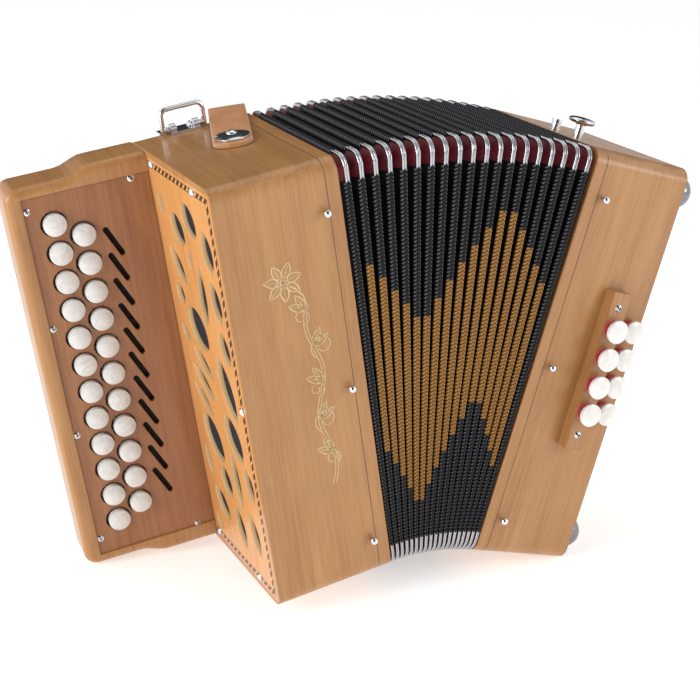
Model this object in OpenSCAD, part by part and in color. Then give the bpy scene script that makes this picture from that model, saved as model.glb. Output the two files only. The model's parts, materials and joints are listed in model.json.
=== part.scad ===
// Two-row button accordion, fanned open, standing on its fingerboard and bass ends.
// Treble frame: x 0 outer end to bellows, y 0 front to back, z 0 bottom to top.

/* [Casings] */
// height of both casings
body_height = 270; // [268:1:300]
// depth of both casings, front to back
body_depth = 135; // [135:1:160]
// treble casing width, with its bellows frame
treble_width = 76.5; // [70:0.5:90]
// bass casing width, with its bellows frame
bass_width = 72.5; // [66:0.5:90]
// wall thickness of the casings
wall = 6; // [5:0.5:8]
// rounding of the long casing edges
edge_radius = 9; // [4:0.5:12]
// width of each bellows frame
frame_width = 8; // [6:0.5:10]

/* [Bellows] */
// number of outer folds
folds = 19; // [12:1:22]
// bellows length when closed
closed_length = 61.5; // [50:0.5:80]
// how far the folds reach inwards
fold_depth = 14; // [8:0.5:16]
// fan angle as stored
fan_angle = 25.4; // [10:0.1:32]
// leg length of each metal corner
corner_leg = 6; // [3:0.5:10]

/* [Fingerboard] */
// how far the fingerboard stands out
board_length = 88; // [86:0.5:110]
// fingerboard thickness, front to back
board_thickness = 30; // [27:0.5:30]
// height of the step at each end of its outline
board_step = 5; // [2:0.5:8]
// angle the fingerboard leans back
board_slope = 5; // [0:0.5:7]

/* [Melody buttons] */
// button spacing in each row
button_pitch = 18.5; // [17.5:0.1:18.8]
// button diameter
button_diameter = 14; // [12:0.5:15]
// clearance around each button in its hole
button_gap = 0.7; // [0.5:0.1:1]

/* [Bass buttons] */
// bass button spacing
bass_pitch = 18.7; // [17:0.1:20]
// bass button diameter
bass_diameter = 15; // [12:0.5:16]

/* [Hidden] */
$fn = 48;
wood = [0.74, 0.52, 0.31];
red_wood = [0.60, 0.38, 0.21];
leather = [0.74, 0.52, 0.36];
steel = [0.80, 0.80, 0.82];
black = [0.06, 0.06, 0.07];
felt_red = [0.65, 0.06, 0.09];
pearl = [0.93, 0.91, 0.86];
zinc = [0.62, 0.63, 0.65];

// stance: both ends touch the floor
hinge_x = treble_width + closed_length / 2;
corner_round = 8;
rest_u = (board_length - corner_round) * cos(board_slope);
rest_z = board_step + 1 + corner_round;
foot_x = hinge_x + (closed_length / 2 + bass_width) * cos(fan_angle);
foot_z = -(closed_length / 2 + bass_width) * sin(fan_angle);
rest_span = sqrt(pow(foot_x + rest_u, 2) + pow(rest_z - foot_z, 2));
treble_lean = atan2(rest_z - foot_z, foot_x + rest_u) - asin(corner_round / rest_span);
lift = -foot_x * sin(treble_lean) - foot_z * cos(treble_lean);
// these put the middle of the default part over the origin
middle_x = 77.68;
middle_y = 74.56;

// fan of the bellows: every fold plane passes through one line below the part
fan_radius = closed_length * cos(fan_angle / 2) / (2 * sin(fan_angle / 2));
fold_step = 1 / folds;

board_front = body_depth - board_thickness;
panel_thickness = 4;
rim = 9;
axle_u = -10.7;
axle_v = 16;
axle_radius = 1.5;
lever_width = 3;
lever_height = 4;
axle_x = -axle_u * cos(board_slope) + axle_v * sin(board_slope);
axle_y = board_front + axle_u * sin(board_slope) + axle_v * cos(board_slope);
outer_buttons = 12;
inner_buttons = 11;
bass_rows = 4;
outer_u = 61.7;
inner_u = 45.9;
outer_top = body_height / 2 + 1.6 + (outer_buttons - 1) * button_pitch / 2;
inner_top = outer_top - button_pitch / 2 - 0.95;
slot_pitch = 16.6;
cap_top = 4;
swing_slack = 0.6;
pallet_length = button_pitch - 5.5;
soundboard = 4;
soundboard_x = treble_width - frame_width - soundboard;
pallet_back = soundboard_x - 5;
outer_pallet_y = 84;
inner_pallet_y = 52;
grille_thickness = 3;
grille_end = board_front - 1;
pin_heights = [26, 131, 241];

strap_pivot = [46, 78];
strap_angle = -19;
strap_width = 24;
strap_thickness = 2.4;
strap_bend = 74;
strap_reach = 106;
stud_x = 14;
stud_y = 72;
air_y = 46;
air_radius = 3.2;
plinth_x = bass_width - 35.2;
plinth_width = 13.6;
plinth_height = 8.5;
plinth_length = 106;
plinth_mid = 134;
bass_row_x = [bass_width - 28.5, bass_width - 9.7];
bass_cap_top = [17, 10];
bass_end_wall = 4;

// ---- frames ----
module at_treble()
    translate([-middle_x, -middle_y, lift])
        rotate([0, -treble_lean, 0])
            children();

module at_bass()
    at_treble()
        translate([hinge_x, 0, 0])
            rotate([0, fan_angle, 0])
                translate([closed_length / 2, 0, 0])
                    children();

// local x runs towards the treble casing, local y back from the fingerboard's face
module at_board()
    at_treble()
        translate([0, board_front, 0])
            rotate([0, 0, -board_slope])
                children();

// ---- shared shapes ----
module along_x(start, length)
    translate([start, 0, 0])
        rotate([90, 0, 90])
            linear_extrude(length)
                children();

module round_rect(low, high, r) {
    translate([low[0] + r, low[1]])
        square([high[0] - low[0] - 2 * r, high[1] - low[1]]);
    translate([low[0], low[1] + r])
        square([high[0] - low[0], high[1] - low[1] - 2 * r]);
    for (y = [low[0] + r, high[0] - r], z = [low[1] + r, high[1] - r])
        translate([y, z])
            circle(r);
}

module section(inset, r)
    round_rect([inset, inset], [body_depth - inset, body_height - inset], r);

// a low round head on a short shank, standing up along +z
module screw(head, height, shank, depth) {
    rotate_extrude()
        intersection() {
            square([head, height]);
            translate([0, height - (head * head + height * height) / (2 * height)])
                circle((head * head + height * height) / (2 * height));
        }
    translate([0, 0, -depth])
        cylinder(r = shank, h = depth + height / 2);
}

module ball_pin() {
    translate([0, 0, 4])
        sphere(2.6);
    translate([0, 0, -5.5])
        cylinder(r = 1.1, h = 8.5);
}

// ---- treble side ----
module treble_case()
    color(wood) at_treble() difference() {
        along_x(0, treble_width - frame_width)
            section(0, edge_radius);
        along_x(wall, treble_width)
            section(wall, 3);
        along_x(-1, treble_width)
            round_rect([wall, wall], [grille_end - 3, body_height - wall], 3);
        along_x(-1, 1 + grille_thickness)
            round_rect([3, 3.5], [grille_end, body_height - 3.5], 3);
        translate([-1, board_front + 4, 14])
            cube([wall + 2, board_thickness - 8, body_height - 28]);
    }

module treble_frame()
    color(wood) at_treble() difference() {
        along_x(treble_width - frame_width, frame_width)
            section(0, edge_radius);
        along_x(0, treble_width + 1)
            section(wall + 2, 3);
    }

// leaf-shaped cut-out: two arcs meeting in points
module leaf(length, breadth) {
    arc = (length * length + breadth * breadth) / (4 * breadth);
    intersection() {
        translate([arc - breadth / 2, 0])
            circle(arc);
        translate([breadth / 2 - arc, 0])
            circle(arc);
    }
}

// fretwork leaves: [from front, up, length, breadth, turn]
leaves = [
    [93, 240, 15, 9, -10], [69, 230, 24, 18, -58], [46, 241, 24, 19, -56],
    [22, 228, 26, 17, -6], [56, 214, 13, 8, -4], [80, 203, 30, 13, -46],
    [86, 183, 14, 13, -56], [45, 193, 42, 14, 6], [22, 197, 26, 16, -10],
    [64, 167, 33, 25, -62], [21, 168, 22, 15, -20], [30, 138, 44, 20, -20],
    [90, 156, 15, 10, -62], [66, 143, 32, 11, -62], [72, 128, 36, 11, -64],
    [79, 114, 32, 10, -62], [73, 89, 36, 25, -46], [34, 104, 32, 23, -36],
    [64, 61, 22, 18, -14], [92, 66, 22, 10, -10], [43, 71, 44, 12, -4],
    [20, 77, 24, 13, -8], [80, 38, 26, 17, -50], [51, 34, 30, 15, -14],
    [94, 18, 12, 8, -40], [25, 40, 30, 13, -12]];

module grille()
    color(wood) at_treble() difference() {
        along_x(0, grille_thickness)
            round_rect([3, 3.5], [grille_end, body_height - 3.5], 3);
        along_x(-1, grille_thickness + 2)
            for (l = leaves)
                translate([l[0], l[1] * body_height / 270])
                    rotate(l[4])
                        leaf(l[2], l[3]);
    }

// outline of the fingerboard: full height at the casing, stepped in at its free end
function ease(t) = t * t * (3 - 2 * t);
function board_edge(u) =
    1 + board_step * ease(min(1, max(0, (u - 34) / 18)));
board_outline = concat(
    [[6, 1]],
    [for (u = [0:4:board_length - corner_round - 4]) [-u, board_edge(u)]],
    [for (a = [0:15:90]) [
        -board_length + corner_round - corner_round * sin(a),
        board_step + 1 + corner_round - corner_round * cos(a)]],
    [for (a = [90:-15:0]) [
        -board_length + corner_round - corner_round * sin(a),
        body_height - board_step - 1 - corner_round + corner_round * cos(a)]],
    [for (u = [board_length - corner_round - 8:-4:0]) [-u, body_height - board_edge(u)]],
    [[6, body_height - 1]]);

module board_slab(start, depth)
    translate([0, start + depth, 0])
        rotate([90, 0, 0])
            linear_extrude(depth)
                children();

module panel_shape()
    translate([-board_length + rim + 1, board_step + 1 + rim - 2])
        square([board_length - rim + 7, body_height - 2 * (board_step + rim - 1)]);

module behind_casing()
    translate([0, -40, -1])
        cube([40, 240, body_height + 2]);

module fingerboard_box()
    color(wood) difference() {
        at_board() difference() {
            board_slab(0, board_thickness)
                polygon(board_outline);
            board_slab(-1, 1 + panel_thickness)
                panel_shape();
            board_slab(panel_thickness - 0.5, board_thickness - panel_thickness - 2.5)
                translate([-board_length + rim + 4, board_step + rim + 3])
                    square([board_length, body_height - 2 * (board_step + rim + 3)]);
        }
        at_treble()
            behind_casing();
    }

module buttons_on(row_u, top, count)
    for (i = [0:count - 1])
        translate([-row_u, 0, top - i * button_pitch])
            rotate([-90, 0, 0])
                children();

// a hole long enough for the cap, which swings outwards as it goes in
module button_hole()
    for (x = [-swing_slack, 0])
        translate([x, 0, 0])
            cylinder(r = button_diameter / 2 + button_gap, h = 20, center = true);

module fingerboard_panel()
    color(red_wood) difference() {
        at_board() difference() {
            board_slab(1, panel_thickness - 1)
                panel_shape();
            buttons_on(outer_u, outer_top, outer_buttons)
                button_hole();
            buttons_on(inner_u, inner_top, inner_buttons)
                button_hole();
            for (i = [0:inner_buttons - 1])
                translate([-28.7, 0, body_height / 2 + 0.8 + (5 - i) * slot_pitch])
                    slot();
        }
        at_treble()
            behind_casing();
    }

// slanted sound slot with round ends
module slot()
    rotate([0, 66, 0]) {
        translate([-9.2, -1, -1.7])
            cube([18.4, 10, 3.4]);
        for (x = [-9.2, 9.2])
            translate([x, -1, 0])
                rotate([-90, 0, 0])
                    cylinder(r = 1.7, h = 10);
    }

module treble_screws() color(steel) {
    at_treble()
        for (s = [[99, 262.5], [30, 262.5], [9.5, 132.5], [99, 7.5], [31, 7.5]])
            translate([0, s[0], s[1]])
                rotate([0, -90, 0])
                    screw(2.6, 1.8, 1.1, 9);
    at_board()
        for (s = [[76, 249], [76, 173.5], [76, 100], [76, 24], [11.4, 255], [11.4, 14]])
            translate([-s[0], 1, s[1]])
                rotate([90, 0, 0])
                    screw(2.4, 0.8, 1, 10);
}

module treble_soundboard()
    color(wood) at_treble() difference() {
        along_x(soundboard_x, soundboard)
            section(wall, 3);
        tone_holes(outer_pallet_y, outer_top, outer_buttons);
        tone_holes(inner_pallet_y, inner_top, inner_buttons);
    }

module tone_holes(y, top, count)
    for (i = [0:count - 1])
        translate([soundboard_x - 1, y - 9, top - i * button_pitch - 4])
            cube([soundboard + 2, 18, 8]);

reed_block_y = [outer_pallet_y, inner_pallet_y];
reed_block = [36, 14, 216];

module treble_reed_blocks()
    color(wood) at_treble()
        for (y = reed_block_y) difference() {
            translate([treble_width - frame_width, y - reed_block[1] / 2, 27])
                cube(reed_block);
            for (i = [0:11])
                translate([treble_width - frame_width - 1, y - 4, 30 + i * 17.8])
                    cube([reed_block[0] - 3, 8, 13.5]);
        }

module treble_reed_plates()
    color(zinc) at_treble()
        for (y = reed_block_y, side = [-1, 1], i = [0:11])
            translate([treble_width - frame_width + 2,
                    y + side * (reed_block[1] / 2 + 0.6) - 0.6, 29 + i * 17.8])
                cube([31, 1.2, 15.5]);

module key_axle()
    color(steel) at_treble()
        translate([axle_x, axle_y, wall])
            cylinder(r = axle_radius, h = body_height - 2 * wall);

// one key: button, stem, lever on the axle, and the pallet over its tone hole
module melody_key(i) {
    outer = i < outer_buttons;
    row_u = outer ? outer_u : inner_u;
    z = outer ? outer_top - i * button_pitch
        : inner_top - (i - outer_buttons) * button_pitch;
    pallet_y = outer ? outer_pallet_y : inner_pallet_y;
    run = pallet_back + 1 - axle_x;
    drop = axle_y - pallet_y;
    color(pearl) difference() {
        union() {
            at_board() {
                translate([-row_u, 0, z])
                    rotate([90, 0, 0])
                        button_cap(button_diameter / 2, cap_top, 1);
                translate([-row_u, axle_v, z])
                    rotate([90, 0, 0])
                        cylinder(r = 2.5, h = axle_v);
                translate([-row_u - 4, axle_v - lever_height / 2, z - lever_width / 2])
                    cube([row_u + 4 - axle_u, lever_height, lever_width]);
                translate([-axle_u, axle_v, z - lever_width / 2])
                    cylinder(r = 3.6, h = lever_width);
            }
            at_treble() {
                translate([axle_x, axle_y, z - lever_width / 2])
                    rotate([0, 0, -atan2(drop, run)])
                        translate([0, -lever_height / 2, 0])
                            cube([sqrt(run * run + drop * drop), lever_height, lever_width]);
                translate([pallet_back, pallet_y - 13, z - pallet_length / 2])
                    cube([soundboard_x - pallet_back, 26, pallet_length]);
            }
        }
        at_treble()
            translate([axle_x, axle_y, z - 10])
                cylinder(r = axle_radius + 0.05, h = 20);
    }
}

// half outline of a domed cap, its underside `below` under zero
module cap_outline(r, top, below) {
    dome = 1.6;
    ball = (r * r + dome * dome) / (2 * dome);
    intersection() {
        translate([0, -below])
            square([r, top + below]);
        translate([0, top - ball])
            circle(ball, $fn = 200);
    }
}

module button_cap(r, top, below)
    rotate_extrude()
        cap_outline(r, top, below);

// ---- straps and fittings ----
bracket_y = 124;
bracket_x = [19, 46];
eye_height = 3.2;

module strap_bracket()
    color(steel) at_treble() translate([0, 0, body_height]) difference() {
        union() {
            translate([bracket_x[0] - 2, bracket_y - 4, 0])
                cube([bracket_x[1] - bracket_x[0] + 4, 13, 1.6]);
            for (x = [bracket_x[0] + 4, bracket_x[1] - 8])
                translate([x, bracket_y, eye_height])
                    rotate([0, 90, 0])
                        cylinder(r = 3.1, h = 4);
            for (x = [26, 39])
                translate([x, bracket_y + 5.5, 1.6])
                    screw(3, 2.4, 1.2, 9);
        }
        translate([bracket_x[0], bracket_y, eye_height])
            rotate([0, 90, 0])
                cylinder(r = 1.65, h = bracket_x[1] - bracket_x[0]);
        for (x = [bracket_x[0] - 5, bracket_x[1] - 3.6])
            translate([x, bracket_y - 5, -1])
                cube([8.6, 6.5, 8]);
    }

module strap_loop()
    color(steel) at_treble() translate([0, bracket_y, body_height + eye_height]) {
        for (side = [0, 1])
            translate([bracket_x[side], 0, 0])
                mirror([side, 0, 0]) {
                    rotate([0, 90, 0])
                        cylinder(r = 1.6, h = 7.6);
                    cylinder(r = 1.6, h = 8.5);
                    sphere(1.6);
                    translate([4, 0, 8.5])
                        rotate([90, 0, 0])
                            rotate_extrude(angle = 90, start = 90)
                                translate([4, 0])
                                    circle(1.6);
                }
        translate([bracket_x[0] + 4, 0, 12.5])
            rotate([0, 90, 0])
                cylinder(r = 1.6, h = bracket_x[1] - bracket_x[0] - 8);
    }

module at_strap()
    at_treble()
        translate([strap_pivot[0], strap_pivot[1], body_height])
            rotate([0, 0, strap_angle])
                children();

module bellows_strap()
    color(leather) at_strap() difference() {
        translate([0, 0, 0.3])
            linear_extrude(strap_thickness) {
                translate([-strap_width / 2, 0])
                    square([strap_width, strap_bend]);
                translate([0, -2])
                    circle(strap_width / 2);
            }
        translate([0, 0, -1])
            cylinder(r = 2.05, h = 6);
    }

module strap_rivet()
    color(steel) at_strap()
        rotate_extrude() {
            translate([0, -6])
                square([2, 10]);
            translate([0, 0.6 + strap_thickness])
                cap_outline(10.5, 2.6, 0);
            translate([0, 5])
                cap_outline(3.4, 2.2, 0);
        }

module bellows_strap_end()
    color(leather) at_strap()
        translate([0, strap_bend, 0.3 + strap_thickness / 2])
            rotate([-68, 0, 0])
                translate([0, 0, -strap_thickness / 2]) difference() {
                    linear_extrude(strap_thickness) {
                        translate([-strap_width / 2, strap_thickness])
                            square([strap_width, strap_reach - strap_bend - strap_thickness]);
                        translate([0, strap_reach - strap_bend])
                            circle(strap_width / 2);
                    }
                    translate([0, strap_reach - strap_bend, -1])
                        cylinder(r = 4.2, h = 6);
                }

module pins_at(x)
    for (z = pin_heights)
        for (side = [0, 1])
            translate([x, side * body_depth, z])
                rotate([side == 1 ? -90 : 90, 0, 0])
                    ball_pin();

module treble_pins()
    color(steel) at_treble()
        pins_at(treble_width - frame_width - 3.2);

// ---- bellows ----
// distance of a fold's outline from the casing's, at position t along the bellows
corner_points = 4;
function fold_ring(t, inset, r) = [
    for (c = [0:3], k = [0:corner_points - 1])
        let (a = 180 + c * 90 + k * 90 / (corner_points - 1),
            y = (c == 0 || c == 3 ? inset + r : body_depth - inset - r) + r * cos(a),
            z = (c < 2 ? inset + r : body_height - inset - r) + r * sin(a),
            turn = t * fan_angle)
        [treble_width + (fan_radius + z) * sin(turn), y,
            (fan_radius + z) * cos(turn) - fan_radius]];

ring_size = 4 * corner_points;
last_ring = 2 * folds;
skin = 3;
end_inset = 3;
function ring_inset(j) = j % 2 == 1 ? 0
    : j == 0 || j == last_ring ? end_inset : fold_depth;
function ring_round(j) = j % 2 == 1 ? edge_radius : 2;
end_gap = 0.006;
function ring_place(j) = end_gap + (1 - 2 * end_gap) * j / last_ring;

module bellows() {
    outer = [for (j = [0:last_ring])
        each fold_ring(ring_place(j), ring_inset(j) + 1, ring_round(j))];
    inner = [for (j = [0:last_ring])
        each fold_ring(ring_place(j), ring_inset(j) + 1 + skin, max(1, ring_round(j) - skin))];
    n = ring_size;
    total = (last_ring + 1) * n;
    sides = [for (j = [0:last_ring - 1], i = [0:n - 1]) let (k = (i + 1) % n)
        each [[j * n + i, j * n + k, (j + 1) * n + k], [j * n + i, (j + 1) * n + k, (j + 1) * n + i]]];
    flipped = [for (f = sides) [f[2] + total, f[1] + total, f[0] + total]];
    first = [for (i = [0:n - 1]) let (k = (i + 1) % n)
        each [[i, total + i, total + k], [i, total + k, k]]];
    base = last_ring * n;
    last = [for (i = [0:n - 1]) let (k = (i + 1) % n)
        each [[base + k, base + total + k, base + total + i], [base + k, base + total + i, base + i]]];
    color(black) at_treble()
        polyhedron(points = concat(outer, inner),
            faces = concat(sides, flipped, first, last));
}

module at_fold(turn)
    at_treble()
        translate([treble_width, 0, -fan_radius])
            rotate([0, turn, 0])
                translate([0, 0, fan_radius])
                    children();

module bellows_corners()
    color(steel)
        for (k = [0:folds - 1])
            at_fold(ring_place(2 * k + 1) * fan_angle)
                along_x(-0.9, 1.8) difference() {
                    section(-0.2, edge_radius + 1.2);
                    section(0.95, edge_radius);
                    translate([edge_radius + corner_leg, -2])
                        square([body_depth - 2 * (edge_radius + corner_leg), body_height + 4]);
                    translate([-2, edge_radius + corner_leg])
                        square([body_depth + 4, body_height - 2 * (edge_radius + corner_leg)]);
                }

// ---- bass side ----
module bass_frame()
    color(wood) at_bass() difference() {
        along_x(0, frame_width)
            section(0, edge_radius);
        along_x(-1, frame_width + 2)
            section(wall + 2, 3);
    }

module bass_case()
    color(wood) at_bass() difference() {
        along_x(frame_width, bass_width - frame_width)
            section(0, edge_radius);
        along_x(frame_width - 1, bass_width - frame_width - bass_end_wall + 1)
            section(wall, 3);
        for (x = bass_row_x, i = [0:bass_rows - 1])
            translate([x, -1, bass_button_z(i)])
                rotate([-90, 0, 0])
                    cylinder(r = 4.3, h = wall + 2);
        translate([stud_x, air_y, body_height - wall - 1])
            cylinder(r = air_radius + 0.3, h = wall + 2);
    }

function bass_button_z(i) = plinth_mid + 1 + (bass_rows - 1 - 2 * i) * bass_pitch / 2;

module bass_soundboard()
    color(wood) at_bass()
        along_x(frame_width - soundboard, soundboard)
            section(wall + 2, 3);

module bass_reed_blocks()
    color(wood) at_bass()
        for (y = [48, 86])
            translate([frame_width - soundboard - 27, y - 9, 36])
                cube([27, 18, 190]);

module bass_plinth()
    color(wood) at_bass() difference() {
        translate([plinth_x, -plinth_height, plinth_mid - plinth_length / 2])
            cube([plinth_width, plinth_height, plinth_length]);
        for (i = [0:bass_rows - 1])
            translate([bass_row_x[0], -plinth_height - 1, bass_button_z(i)])
                rotate([-90, 0, 0])
                    cylinder(r = 4.3, h = plinth_height + 2);
    }

module bass_bushings()
    color(felt_red) at_bass()
        for (row = [0, 1], i = [0:bass_rows - 1])
            translate([bass_row_x[row], row == 0 ? -plinth_height : 0, bass_button_z(i)])
                rotate([90, 0, 0]) difference() {
                    cylinder(r = 6.4, h = 1.4);
                    translate([0, 0, -1])
                        cylinder(r = 4.3, h = 4);
                }

module bass_button(i) {
    row = floor(i / bass_rows);
    color(pearl) at_bass()
        translate([bass_row_x[row], 0, bass_button_z(i % bass_rows)]) {
            rotate([90, 0, 0])
                translate([0, 0, bass_cap_top[row] - 3.4])
                    button_cap(bass_diameter / 2, 3.4, 0);
            translate([0, 12, 0])
                rotate([90, 0, 0])
                    cylinder(r = 4, h = 12 + bass_cap_top[row] - 3);
            translate([0, 14, 0])
                rotate([90, 0, 0])
                    cylinder(r = 5.2, h = 4);
        }
}

module air_button()
    color(steel) at_bass()
        translate([stud_x, air_y, body_height]) {
            translate([0, 0, -22])
                cylinder(r = air_radius, h = 32);
            translate([0, 0, 9])
                screw(9, 4.5, 2, 1);
            translate([0, 0, -22])
                cylinder(r = 5, h = 3);
        }

module press_stud()
    color(steel) at_bass()
        translate([stud_x, stud_y, body_height]) {
            translate([0, 0, -5])
                cylinder(r = 2, h = 10);
            cylinder(r = 4, h = 0.8);
            cylinder(r = 3, h = 6);
            translate([0, 0, 4.6])
                cylinder(r = 3.7, h = 2.4);
        }

strap_bow = 22;
strap_span = 206;

module hand_strap()
    color(leather) at_bass()
        translate([bass_width, body_depth / 2 - 22, body_height / 2]) {
            bow = (strap_span * strap_span / 4 + strap_bow * strap_bow) / (2 * strap_bow);
            intersection() {
                translate([strap_bow - bow, 0, 0])
                    rotate([-90, 0, 0]) difference() {
                        cylinder(r = bow, h = 48, $fn = 96);
                        translate([0, 0, -1])
                            cylinder(r = bow - 3, h = 50, $fn = 96);
                    }
                translate([0, -1, -strap_span])
                    cube([60, 60, 2 * strap_span]);
            }
            for (z = [-strap_span / 2 - 12, strap_span / 2 - 5])
                translate([0, 0, z])
                    cube([3, 48, 17]);
        }

module bass_feet()
    color(steel) at_bass()
        for (y = [15, body_depth - 15], z = [16, body_height - 16])
            translate([bass_width, y, z])
                rotate([0, 90, 0]) {
                    cylinder(r = 11.5, h = 5);
                    translate([0, 0, 5])
                        screw(11, 10, 2, 9);
                }

module bass_pins() color(steel) at_bass() {
    pins_at(frame_width + 4);
    for (z = [91, 177])
        translate([plinth_x + plinth_width / 2, -plinth_height, z])
            rotate([90, 0, 0])
                screw(2.6, 1.4, 1.1, 12);
}

treble_case();
treble_frame();
grille();
fingerboard_box();
fingerboard_panel();
treble_screws();
treble_soundboard();
treble_reed_blocks();
treble_reed_plates();
key_axle();
strap_bracket();
strap_loop();
bellows_strap();
bellows_strap_end();
strap_rivet();
treble_pins();
bellows();
bellows_corners();
bass_frame();
bass_case();
bass_soundboard();
bass_reed_blocks();
bass_plinth();
hand_strap();
bass_feet();
press_stud();
bass_pins();
bass_bushings();
air_button();
melody_key(0);  // melody_key_01
melody_key(1);  // melody_key_02
melody_key(2);  // melody_key_03
melody_key(3);  // melody_key_04
melody_key(4);  // melody_key_05
melody_key(5);  // melody_key_06
melody_key(6);  // melody_key_07
melody_key(7);  // melody_key_08
melody_key(8);  // melody_key_09
melody_key(9);  // melody_key_10
melody_key(10);  // melody_key_11
melody_key(11);  // melody_key_12
melody_key(12);  // melody_key_13
melody_key(13);  // melody_key_14
melody_key(14);  // melody_key_15
melody_key(15);  // melody_key_16
melody_key(16);  // melody_key_17
melody_key(17);  // melody_key_18
melody_key(18);  // melody_key_19
melody_key(19);  // melody_key_20
melody_key(20);  // melody_key_21
melody_key(21);  // melody_key_22
melody_key(22);  // melody_key_23
bass_button(0);  // bass_button_1
bass_button(1);  // bass_button_2
bass_button(2);  // bass_button_3
bass_button(3);  // bass_button_4
bass_button(4);  // bass_button_5
bass_button(5);  // bass_button_6
bass_button(6);  // bass_button_7
bass_button(7);  // bass_button_8
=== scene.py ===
"""Looks for a two-row button accordion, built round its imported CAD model."""

import json
import math

import bmesh
import bpy
import numpy as np
from mathutils import Matrix, Vector


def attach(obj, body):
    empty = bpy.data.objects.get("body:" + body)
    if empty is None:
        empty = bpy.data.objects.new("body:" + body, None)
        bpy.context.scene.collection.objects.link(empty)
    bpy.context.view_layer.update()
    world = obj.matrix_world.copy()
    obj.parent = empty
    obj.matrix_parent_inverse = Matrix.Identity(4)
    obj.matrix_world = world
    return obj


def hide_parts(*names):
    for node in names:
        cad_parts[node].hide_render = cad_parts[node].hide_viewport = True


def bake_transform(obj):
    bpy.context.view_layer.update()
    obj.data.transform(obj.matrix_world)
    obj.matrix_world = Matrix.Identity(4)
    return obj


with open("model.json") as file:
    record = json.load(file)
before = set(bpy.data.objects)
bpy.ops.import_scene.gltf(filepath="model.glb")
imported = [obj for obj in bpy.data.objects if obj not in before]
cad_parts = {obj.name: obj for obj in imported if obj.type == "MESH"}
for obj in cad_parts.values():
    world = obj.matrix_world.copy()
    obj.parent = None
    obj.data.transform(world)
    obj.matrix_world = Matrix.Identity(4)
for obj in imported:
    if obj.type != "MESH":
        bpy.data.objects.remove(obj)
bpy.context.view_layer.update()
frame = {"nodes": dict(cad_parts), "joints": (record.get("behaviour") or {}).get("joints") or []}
NODES = frame["nodes"]
JOINTS = {j["name"]: j for j in frame["joints"]}
MM = 0.001

# design sizes, in millimetres
HEIGHT = 270
DEPTH = 135
TREBLE_WIDTH = 76.5
BASS_WIDTH = 72.5
EDGE_RADIUS = 9
FRAME_WIDTH = 8
FOLDS = 19
CLOSED_LENGTH = 61.5
CORNER_LEG = 6
GRILLE_DEPTH = 104
BOARD_LENGTH = 88
BOARD_THICKNESS = 30
BOARD_STEP = 5
BOARD_SLOPE = math.radians(5)
BOARD_ROUND = 8
RIM = 9
FOLD_DEPTH = 14
END_GAP = 0.006                 # share of the fan between a casing and the bellows' outermost fold edge
LEG_END = EDGE_RADIUS + CORNER_LEG
LEG_FADE = 12                   # over which the folds deepen beyond a corner's gusset
SIDE_STEPS = (LEG_END, LEG_END + 1, 24, 36)
TAPE_WIDTH = 2.3
PLAIT = 2.4                     # length of one plait of the tapes
CAP_WIDTH = 2.1
STRAP_PLACE = (46, 78, HEIGHT)  # the rivet, on the treble casing's top
STRAP_TURN = math.radians(-19)
STRAP_HALF = 12
STRAP_THICKNESS = 2.4
STRAP_TAIL = 14                 # before the rivet
STRAP_BEND = 74                 # from the rivet to the bend over the back edge
STRAP_DROP = 44                 # beyond the bend
STRAP_HOLE = 32                 # beyond the bend
DROOP = math.radians(68)
BEND_RADIUS = 6
HAND_BOW, HAND_SPAN, HAND_WIDTH, HAND_THICKNESS = 22, 206, 48, 3.0
HAND_HALF = 115                 # from the strap's middle to each flat end
INLAY_HALF = 1.9
INLAY_EDGE = 7.5                # from the grille's edges to the rope's middle
AIR_PLACE = (14, 46, HEIGHT)    # on the bass casing's top
BOARD_SCREWS = [(76, 249), (76, 173.5), (76, 100), (76, 24), (11.4, 255), (11.4, 14)]
PLINTH_SCREW_X = BASS_WIDTH - 28.4
PLINTH_SCREW_Z = (91, 177)
PLINTH_FACE = -9.96

# ---- frames: local millimetres to world metres ----
hinge = Vector(JOINTS["bellows_fan"]["pos_m"])
FAN = math.radians(-JOINTS["bellows_fan"]["range_deg"][0])
FAN_RADIUS = CLOSED_LENGTH / 2 * math.cos(FAN / 2) / math.sin(FAN / 2)


def placed(x_axis, z_axis, origin):
    """The matrix of a frame with those axes, taking millimetres to metres."""
    x, z = Vector(x_axis).normalized(), Vector(z_axis).normalized()
    turn = Matrix((x, z.cross(x), z)).transposed().to_4x4()
    return Matrix.Translation(origin) @ turn @ Matrix.Scale(MM, 4)


treble_x = Vector(JOINTS["strap_loop_tilt"]["axis"])
treble_z = Vector(JOINTS["strap_swing"]["axis"])
bass_z = -Vector(JOINTS["air_button_press"]["axis"])
front_to_back = treble_z.cross(treble_x)
bass_x = front_to_back.cross(bass_z)
middle = hinge - front_to_back * DEPTH / 2 * MM
TREBLE = placed(treble_x, treble_z, middle - treble_x * (TREBLE_WIDTH + CLOSED_LENGTH / 2) * MM)
BASS = placed(bass_x, bass_z, middle + bass_x * CLOSED_LENGTH / 2 * MM)
BOARD = (TREBLE @ Matrix.Translation((0, DEPTH - BOARD_THICKNESS, 0))
         @ Matrix.Rotation(-BOARD_SLOPE, 4, "Z"))
STRAP = TREBLE @ Matrix.Translation(STRAP_PLACE) @ Matrix.Rotation(STRAP_TURN, 4, "Z")
STRAP_MIDDLE = 0.3 + STRAP_THICKNESS / 2
STRAP_END = STRAP @ Matrix.Translation((0, STRAP_BEND, STRAP_MIDDLE)) @ Matrix.Rotation(-DROOP, 4, "X")


# ---- materials ----
def tone(red, green, blue):
    """An sRGB colour of 0 to 255 as the linear RGBA that nodes take."""
    return tuple((c / 255 / 12.92) if c < 10.4 else ((c / 255 + 0.055) / 1.055) ** 2.4
                 for c in (red, green, blue)) + (1.0,)


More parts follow.
